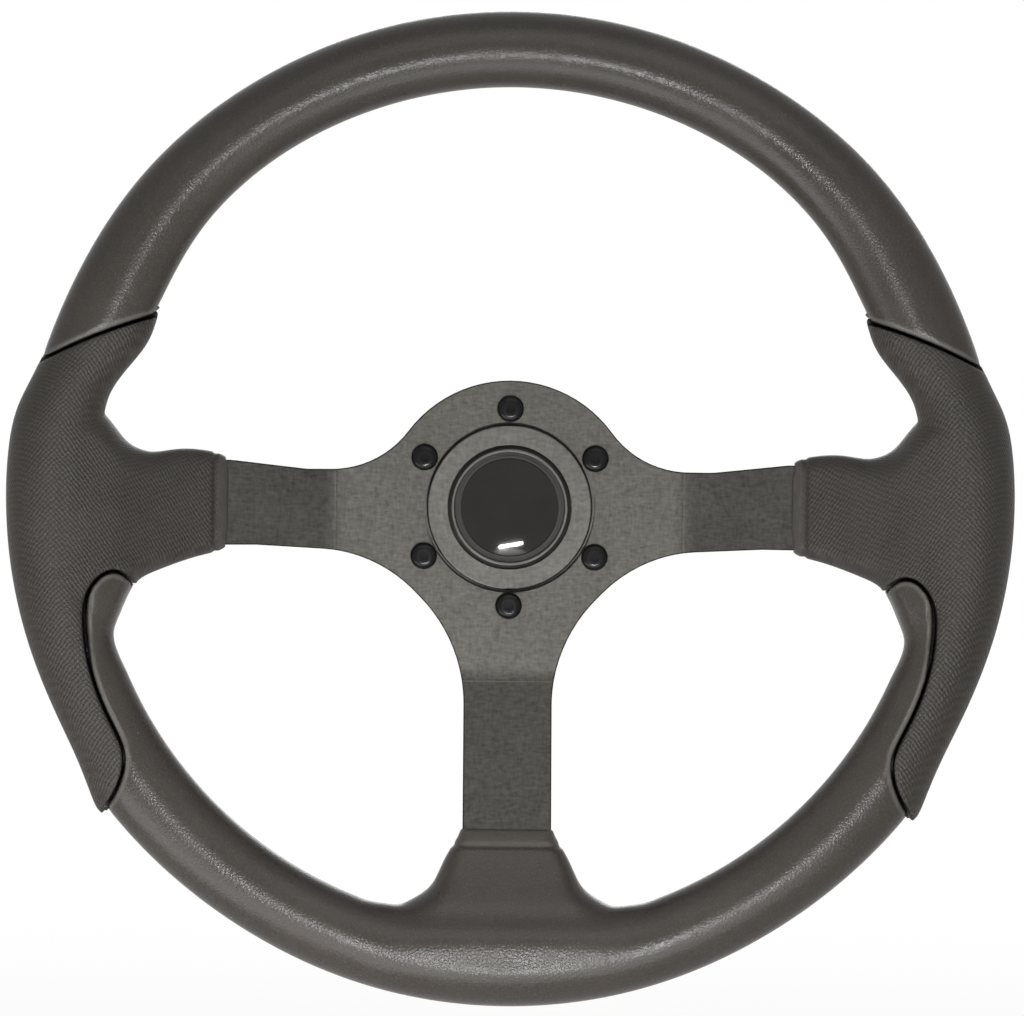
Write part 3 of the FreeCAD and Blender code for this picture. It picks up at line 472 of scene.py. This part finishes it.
spokeShape = {
    "arms": ((1, 0), (-1, 0), (-1, 2)), "bend": 0.06165, "halfWidth": 0.0048, "step": 0.0008,
    "lean": radians(20), "sharp": radians(24), "cutApart": 0.00001,
}


def dressSpokes():
    piece = copyNode("spoke_frame", "spokePlate")
    bend, half, step = (spokeShape[name] for name in ("bend", "halfWidth", "step"))
    for side, axis in spokeShape["arms"]:
        for number in range(round(half * 2 / step) + 1):
            place, normal = [0.0, 0.0, 0.0], [0.0, 0.0, 0.0]
            place[axis] = side * (bend - half + number * step)
            normal[axis] = 1.0
            editAll(piece)
            bpy.ops.mesh.bisect(plane_co=place, plane_no=normal, threshold=spokeShape["cutApart"])
            leaveEdit()

    def weightOf(point):
        out = max(abs(point.co.x), -point.co.z)
        return max(1 - abs(out - bend) / half, 0.0) ** 2
    # the sharp bend becomes a parabola that is tangent to both flats
    swellWhere(piece, weightOf, -tan(spokeShape["lean"]) * half / 4, "Y")
    makeActive(piece)
    bpy.ops.object.shade_smooth_by_angle(angle=spokeShape["sharp"])
    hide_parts("spoke_frame")
    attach(piece, "root")
    print("spokes dressed,", len(piece.data.polygons), "faces")
    return piece


# cap whose rim lies a little deeper, so a line of shadow runs round it, and badge with smooth shading

capShape = {"landInside": 0.0213, "landFront": -0.0480, "landDrop": 0.0009, "sharp": radians(30)}
badgeShape = {"sharp": radians(30)}


def dressCap():
    piece = copyNode("centre_cap", "centreCap")
    editAll(piece)
    leaveEdit()
    for point in piece.data.vertices:
        x, y, z = point.co
        point.select = hypot(x, z) > capShape["landInside"] and y < capShape["landFront"]
    makeActive(piece)
    bpy.ops.object.mode_set(mode="EDIT")
    bpy.ops.transform.translate(value=(0, capShape["landDrop"], 0))
    leaveEdit()
    bpy.ops.object.shade_smooth_by_angle(angle=capShape["sharp"])
    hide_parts("centre_cap")
    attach(piece, "root")
    return piece


def dressBadge():
    piece = copyNode("cap_badge", "capBadge")
    makeActive(piece)
    bpy.ops.object.shade_smooth_by_angle(angle=badgeShape["sharp"])
    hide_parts("cap_badge")
    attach(piece, "root")
    return piece


spokePlate = dressSpokes()
centreCap = dressCap()
capBadge = dressBadge()
print("cap and badge dressed")


# finishes of the grips

# the side colours of both grip finishes are painted shade on faces turned sideways
smoothGripFinish = {
    "colour": (0.043, 0.038, 0.033), "dark": (0.023, 0.020, 0.017), "side": (0.012, 0.011, 0.010),
    # a lighter colour painted beside the seams, a painted highlight
    "seamHighlight": (0.075, 0.070, 0.063), "roughness": 0.27, "roughSpread": (-0.04, 0.05), "specular": 0.17,
    "cells": 760.0, "grain": 0.000028, "toneSize": 30.0, "toneShare": 0.25,
    # the lip's painted highlight: how much lighter it is painted, and where
    "lipHighlight": 1.18, "lipHalf": (0.035, 0.032), "lipHeight": (-0.1193, -0.1184),
}
wovenGripFinish = {
    "colour": (0.036, 0.032, 0.027), "dark": (0.014, 0.012, 0.011), "side": (0.010, 0.009, 0.008),
    # the collar colour is lighter, a painted highlight on the plain collar strip
    "collar": (0.052, 0.049, 0.044), "roughness": 0.42, "roughSpread": (-0.05, 0.06), "specular": 0.17,
    "cells": 1100.0, "grain": 0.00005, "toneSize": 45.0, "toneShare": 0.3,
    "pitch": 0.0014, "relief": 0.00020, "wander": 260.0, "wanderSpread": (0.3, 0.7), "swing": 1.6,
    "fieldEdge": (0.1035, 0.1060), "collarEdge": (0.1035, 0.1026), "collarLines": (2200.0, 400.0, 260.0),
}


def varyRoughness(tree, shader, tone, low, high):
    tree.links.new(rangeNode(tree, tone, 0.0, 1.0, low, high), shader.inputs["Roughness"])


def gripStart(name, finish):
    # what both grip materials share: shader, grain, tone and roughness
    material, tree, shader = newMaterial(name, finish["roughness"], specular=finish["specular"])
    grain = placeGroup(tree, leatherGrain, Cells=finish["cells"]).outputs
    tone = placeGroup(tree, handledTone, Size=finish["toneSize"]).outputs["Tone"]
    low, high = finish["roughSpread"]
    varyRoughness(tree, shader, tone, finish["roughness"] + low, finish["roughness"] + high)
    return material, tree, shader, grain, tone


def smoothGripMaterial():
    finish = smoothGripFinish
    material, tree, shader, grain, tone = gripStart("mouldedLeather", finish)
    shade = blendValues(tree, tone, grain["Shade"], finish["toneShare"])
    leather = mixColours(tree, shade, finish["dark"], finish["colour"])
    # painted highlight: the lip round the bottom spoke is painted a little lighter
    _, parts = placeNode(tree)
    aside = rangeNode(tree, mathNode(tree, "ABSOLUTE", parts[0]), *finish["lipHalf"])
    lip = mathNode(tree, "MULTIPLY", aside, rangeNode(tree, parts[2], *finish["lipHeight"]))
    lip = mathNode(tree, "MULTIPLY", lip, mathNode(tree, "LESS_THAN", parts[2], 0.0))
    lighter = tuple(finish["lipHighlight"] * c for c in finish["colour"])
    leather = mixColours(tree, lip, leather, lighter)
    # the edges beside the seams are painted lighter too, a painted highlight
    seam = addNode(tree, "ShaderNodeAttribute", attribute_name="seamHighlightMask")
    leather = mixColours(tree, seam.outputs["Fac"], leather, finish["seamHighlight"])
    # painted shade on faces turned sideways
    tree.links.new(paintSideShade(tree, leather, finish["side"]), shader.inputs["Base Color"])
    tree.links.new(bumpNode(tree, grain["Height"], finish["grain"]), shader.inputs["Normal"])
    return material


def wovenGripMaterial():
    finish = wovenGripFinish
    material, tree, shader, grain, tone = gripStart("mouldedWeave", finish)
    place, parts = placeNode(tree)
    # two sets of rows cross each other in x and z, and both wander a little and turn with the depth
    wave = 2 * pi / finish["pitch"] / 2 ** 0.5
    rising = mathNode(tree, "MULTIPLY", mathNode(tree, "ADD", parts[0], parts[2]), wave)
    falling = mathNode(tree, "MULTIPLY", mathNode(tree, "SUBTRACT", parts[0], parts[2]), wave)
    wander = rangeNode(tree, noiseNode(tree, place, finish["wander"]).outputs["Fac"],
                       *finish["wanderSpread"], -finish["swing"], finish["swing"])
    drift = mathNode(tree, "ADD", mathNode(tree, "MULTIPLY", parts[1], wave), wander)
    first = mathNode(tree, "SINE", mathNode(tree, "ADD", rising, drift))
    second = mathNode(tree, "SINE", mathNode(tree, "SUBTRACT", falling, drift))
    knots = rangeNode(tree, mathNode(tree, "ADD", first, second), -2.0, 2.0)
    shade = blendValues(tree, tone, knots, finish["toneShare"])
    leather = mixColours(tree, shade, finish["dark"], finish["colour"])
    # the relief of the woven field ends at the collar, whose plain strip has a fine upright grain and a
    # lighter colour that is a painted highlight
    aside = mathNode(tree, "ABSOLUTE", parts[0])
    woven = mathNode(tree, "MULTIPLY", knots, rangeNode(tree, aside, *finish["fieldEdge"], smooth=True))
    upright = placeGroup(tree, fineLines, Stretch=finish["collarLines"])
    collar = mixColours(tree, upright.outputs["Shade"], finish["colour"], finish["collar"])
    leather = mixColours(tree, rangeNode(tree, aside, *finish["collarEdge"]), leather, collar)
    # painted shade on faces turned sideways
    tree.links.new(paintSideShade(tree, leather, finish["side"]), shader.inputs["Base Color"])
    fine = bumpNode(tree, grain["Height"], finish["grain"])
    tree.links.new(bumpNode(tree, woven, finish["relief"], below=fine), shader.inputs["Normal"])
    return material


# finishes of metal, plastic and rubber

# the last pair sets where the painted shade on sideways faces fades in
metalMix = {
    "toneSize": 40.0, "lineShare": 0.6, "sameWay": 0.55, "roughSpread": 0.06, "sideShadeFade": (0.55, 0.92),
}

# the side colours of the plate and the ring are painted shade on faces turned sideways
plateFinish = {
    "colour": (0.068, 0.066, 0.059), "dark": (0.026, 0.025, 0.022), "side": (0.008, 0.008, 0.007),
    "roughness": 0.50, "lines": (1000.0, 200.0, 330.0), "crossing": (330.0, 200.0, 1000.0), "depth": 0.00002,
}
ringFinish = {
    "colour": (0.076, 0.074, 0.067), "dark": (0.034, 0.033, 0.030), "side": (0.010, 0.010, 0.009),
    "roughness": 0.48, "lines": (900.0, 200.0, 350.0), "crossing": (350.0, 200.0, 900.0), "depth": 0.00002,
}
hubFinish = {
    "colour": (0.30, 0.30, 0.29), "dark": (0.20, 0.20, 0.19), "roughness": 0.38,
    "lines": (60.0, 2500.0, 60.0), "depth": 0.00002,
}
steelFinish = {
    "colour": (0.030, 0.029, 0.028), "dark": (0.016, 0.015, 0.015), "roughness": 0.5,
    "lines": (90.0, 90.0, 90.0), "depth": 0.00002,
}
trimFinish = {
    "colour": (0.060, 0.058, 0.054), "dark": (0.040, 0.039, 0.036), "roughness": 0.46,
    "lines": (120.0, 400.0, 120.0), "depth": 0.000005,
}


def linedMetal(name, finish):
    material, tree, shader = newMaterial(name, finish["roughness"], metallic=1.0)
    lines = placeGroup(tree, fineLines, Stretch=finish["lines"])
    tone = placeGroup(tree, handledTone, Size=metalMix["toneSize"]).outputs["Tone"]
    shade = blendValues(tree, lines.outputs["Shade"], tone, metalMix["lineShare"])
    if "crossing" in finish:
        # strokes the other way too, as on metal brushed by hand
        crossing = placeGroup(tree, fineLines, Stretch=finish["crossing"])
        shade = blendValues(tree, shade, crossing.outputs["Shade"], metalMix["sameWay"])
    metal = mixColours(tree, shade, finish["dark"], finish["colour"])
    # painted shade on faces turned sideways
    if "side" in finish:
        metal = paintSideShade(tree, metal, finish["side"], *metalMix["sideShadeFade"])
    tree.links.new(metal, shader.inputs["Base Color"])
    spread = metalMix["roughSpread"]
    varyRoughness(tree, shader, tone, finish["roughness"] - spread, finish["roughness"] + spread)
    tree.links.new(bumpNode(tree, lines.outputs["Height"], finish["depth"]), shader.inputs["Normal"])
    return material


blackMix = {"cells": 2600.0, "toneSize": 60.0, "dark": 0.7, "roughSpread": (0.85, 1.2)}

blackFinish = {
    "blackOxide": {"colour": (0.006, 0.006, 0.006), "roughness": 0.17, "specular": 0.10, "grain": 0.000001},
    "capPlastic": {"colour": (0.020, 0.018, 0.016), "roughness": 0.40, "specular": 0.14, "grain": 0.00001},
    "glossyBadge": {"colour": (0.012, 0.011, 0.010), "roughness": 0.035, "specular": 0.2,
                    "grain": 0.0000001},
    "sealRubber": {"colour": (0.014, 0.014, 0.014), "roughness": 0.55, "specular": 0.3, "grain": 0.00003},
}


def mouldedBlack(name):
    finish = blackFinish[name]
    material, tree, shader = newMaterial(name, finish["roughness"], specular=finish["specular"])
    skin = placeGroup(tree, leatherGrain, Cells=blackMix["cells"])
    tone = placeGroup(tree, handledTone, Size=blackMix["toneSize"]).outputs["Tone"]
    darker = tuple(blackMix["dark"] * c for c in finish["colour"])
    tree.links.new(mixColours(tree, tone, darker, finish["colour"]), shader.inputs["Base Color"])
    low, high = blackMix["roughSpread"]
    varyRoughness(tree, shader, tone, finish["roughness"] * low, finish["roughness"] * high)
    tree.links.new(bumpNode(tree, skin.outputs["Height"], finish["grain"]), shader.inputs["Normal"])
    return material


smoothGrip = smoothGripMaterial()
wovenGrip = wovenGripMaterial()
plateMetal = linedMetal("brushedAnodised", plateFinish)
hubMetal = linedMetal("turnedHub", hubFinish)
coreSteel = linedMetal("blackenedSteel", steelFinish)
ringMetal = linedMetal("satinRing", ringFinish)
trimMetal = linedMetal("brightTrim", trimFinish)
screwBlack = mouldedBlack("blackOxide")
capBlack = mouldedBlack("capPlastic")
badgeBlack = mouldedBlack("glossyBadge")
sealBlack = mouldedBlack("sealRubber")

pieceFinish = {
    upperGrip: (smoothGrip, "grip_smooth"), lowerGrip: (smoothGrip, "grip_smooth"),
    leftGrip: (wovenGrip, "grip_weave"), rightGrip: (wovenGrip, "grip_weave"),
    spokePlate: (plateMetal, "anodised_plate"), centreCap: (capBlack, "cap_plastic"),
    capBadge: (badgeBlack, "badge_gloss"),
}
for piece, (material, slotName) in pieceFinish.items():
    piece.data.materials.clear()
    piece.data.materials.append(material)

nodeFinish = {
    "hub_boss": hubMetal, "hub_screws": screwBlack, "cap_ring": ringMetal, "cap_trim_ring": trimMetal,
    "cap_seal": sealBlack, "rim_ring": coreSteel, "spoke_rivets": coreSteel, "ring_lug_right": coreSteel,
    "ring_lug_left": coreSteel, "ring_lug_bottom": coreSteel,
}
for nodeName, material in nodeFinish.items():
    wheelNodes[nodeName].material_slots[0].material = material
print("finishes placed")


# studio: floor, light and camera

studio = {
    "floorBelow": 0.25, "floorSize": 60.0, "floorColour": (0.86, 0.86, 0.85), "floorRoughness": 0.9,
    "floorFade": (1.2, 4.0), "floorShare": 0.82, "worldStrength": 0.34,
    "cameraDistance": 3.0, "cameraTurn": -0.7, "cameraRise": 1.35, "cameraRoll": 0.6,
    "lens": 300.0, "sensor": 36.0, "clipEnd": 100.0, "aim": (0.0005, 0.0005),
    "lamps": {
        "stripLamp": {"place": (0.035, -1.68, -0.39), "size": (0.21, 0.012), "power": 17.0, "roll": 11.0},
        "highLamp": {"place": (0.25, -1.45, 1.40), "size": (1.8, 1.2), "power": 12.0},
        "lowLamp": {"place": (-0.10, -0.34, -0.42), "size": (0.9, 0.5), "power": 8.0},
        "backLamp": {"place": (0.2, 1.9, 0.6), "size": (0.8, 0.8), "power": 4.5},
    },
}


def seenWhite(tree, share):
    # the camera and reflections see plain white, everything else gets plain light
    light = addNode(tree, "ShaderNodeLightPath").outputs
    mirrored = mathNode(tree, "MAXIMUM", light["Is Glossy Ray"], light["Is Transmission Ray"])
    seen = mathNode(tree, "MAXIMUM", light["Is Camera Ray"], mirrored)
    return mathNode(tree, "MULTIPLY", seen, share)


def blendShaders(tree, factor, first, second, output):
    blend = addNode(tree, "ShaderNodeMixShader")
    for socket, value in zip(blend.inputs, (factor, first.outputs[0], second.outputs[0])):
        tree.links.new(value, socket)
    tree.links.new(blend.outputs[0], tree.nodes[output].inputs["Surface"])


def buildFloor():
    bpy.ops.object.select_all(action="DESELECT")
    low = cadBox[0][2] - studio["floorBelow"]
    bpy.ops.mesh.primitive_plane_add(size=studio["floorSize"], location=(0, 0, low))
    floor = bpy.context.object
    floor.name = "studioFloor"
    bpy.ops.object.transform_apply(location=True, rotation=True, scale=True)
    material, tree, shader = newMaterial("paleFloor", studio["floorRoughness"])
    feed(tree, shader.inputs["Base Color"], studio["floorColour"])
    # white far away, a little of the real floor and its shadow near the wheel
    away = addNode(tree, "ShaderNodeVectorMath", operation="LENGTH")
    tree.links.new(addNode(tree, "ShaderNodeTexCoord").outputs["Object"], away.inputs[0])
    share = rangeNode(tree, away.outputs["Value"], *studio["floorFade"], studio["floorShare"], 1.0,
                      smooth=True)
    glow = addNode(tree, "ShaderNodeEmission")
    glow.inputs["Strength"].default_value = 1.0
    blendShaders(tree, seenWhite(tree, share), shader, glow, "Material Output")
    floor.data.materials.append(material)


def buildWorld():
    world = bpy.data.worlds.new("studioWorld")
    scene.world = world
    world.use_nodes = True
    tree = world.node_tree
    plain = tree.nodes["Background"]
    white = addNode(tree, "ShaderNodeBackground")
    for background, strength in ((plain, studio["worldStrength"]), (white, 1.0)):
        background.inputs["Color"].default_value = (1.0, 1.0, 1.0, 1.0)
        background.inputs["Strength"].default_value = strength
    blendShaders(tree, seenWhite(tree, 1.0), plain, white, "World Output")


def turnTo(way, roll):
    # looks along way, with the top up, then rolls
    return (way.to_track_quat("-Z", "Y") @ Quaternion((0, 0, 1), radians(roll))).to_euler()


def buildLamps():
    for name, lamp in studio["lamps"].items():
        light = bpy.data.lights.new(name, "AREA")
        light.shape = "RECTANGLE"
        light.size, light.size_y = lamp["size"]
        light.energy = lamp["power"]
        thing = bpy.data.objects.new(name, light)
        scene.collection.objects.link(thing)
        thing.location = lamp["place"]
        thing.rotation_euler = turnTo(Vector((0.0, rimMiddle, 0.0)) - thing.location, lamp.get("roll", 0.0))
        thing.visible_camera = False


def buildCamera():
    camera = bpy.data.objects.new("frontCamera", bpy.data.cameras.new("frontCamera"))
    scene.collection.objects.link(camera)
    turn, rise = radians(studio["cameraTurn"]), radians(studio["cameraRise"])
    aimX, aimZ = studio["aim"]
    target = Vector((aimX, rimMiddle, aimZ))
    way = Vector((sin(turn) * cos(rise), -cos(turn) * cos(rise), sin(rise)))
    camera.location = target + way * studio["cameraDistance"]
    camera.rotation_euler = turnTo(target - camera.location, studio["cameraRoll"])
    camera.data.lens = studio["lens"]
    camera.data.sensor_width = studio["sensor"]
    camera.data.clip_end = studio["clipEnd"]
    scene.camera = camera


buildFloor()
buildWorld()
buildLamps()
buildCamera()
scene.view_settings.view_transform = "Standard"
print("studio ready")
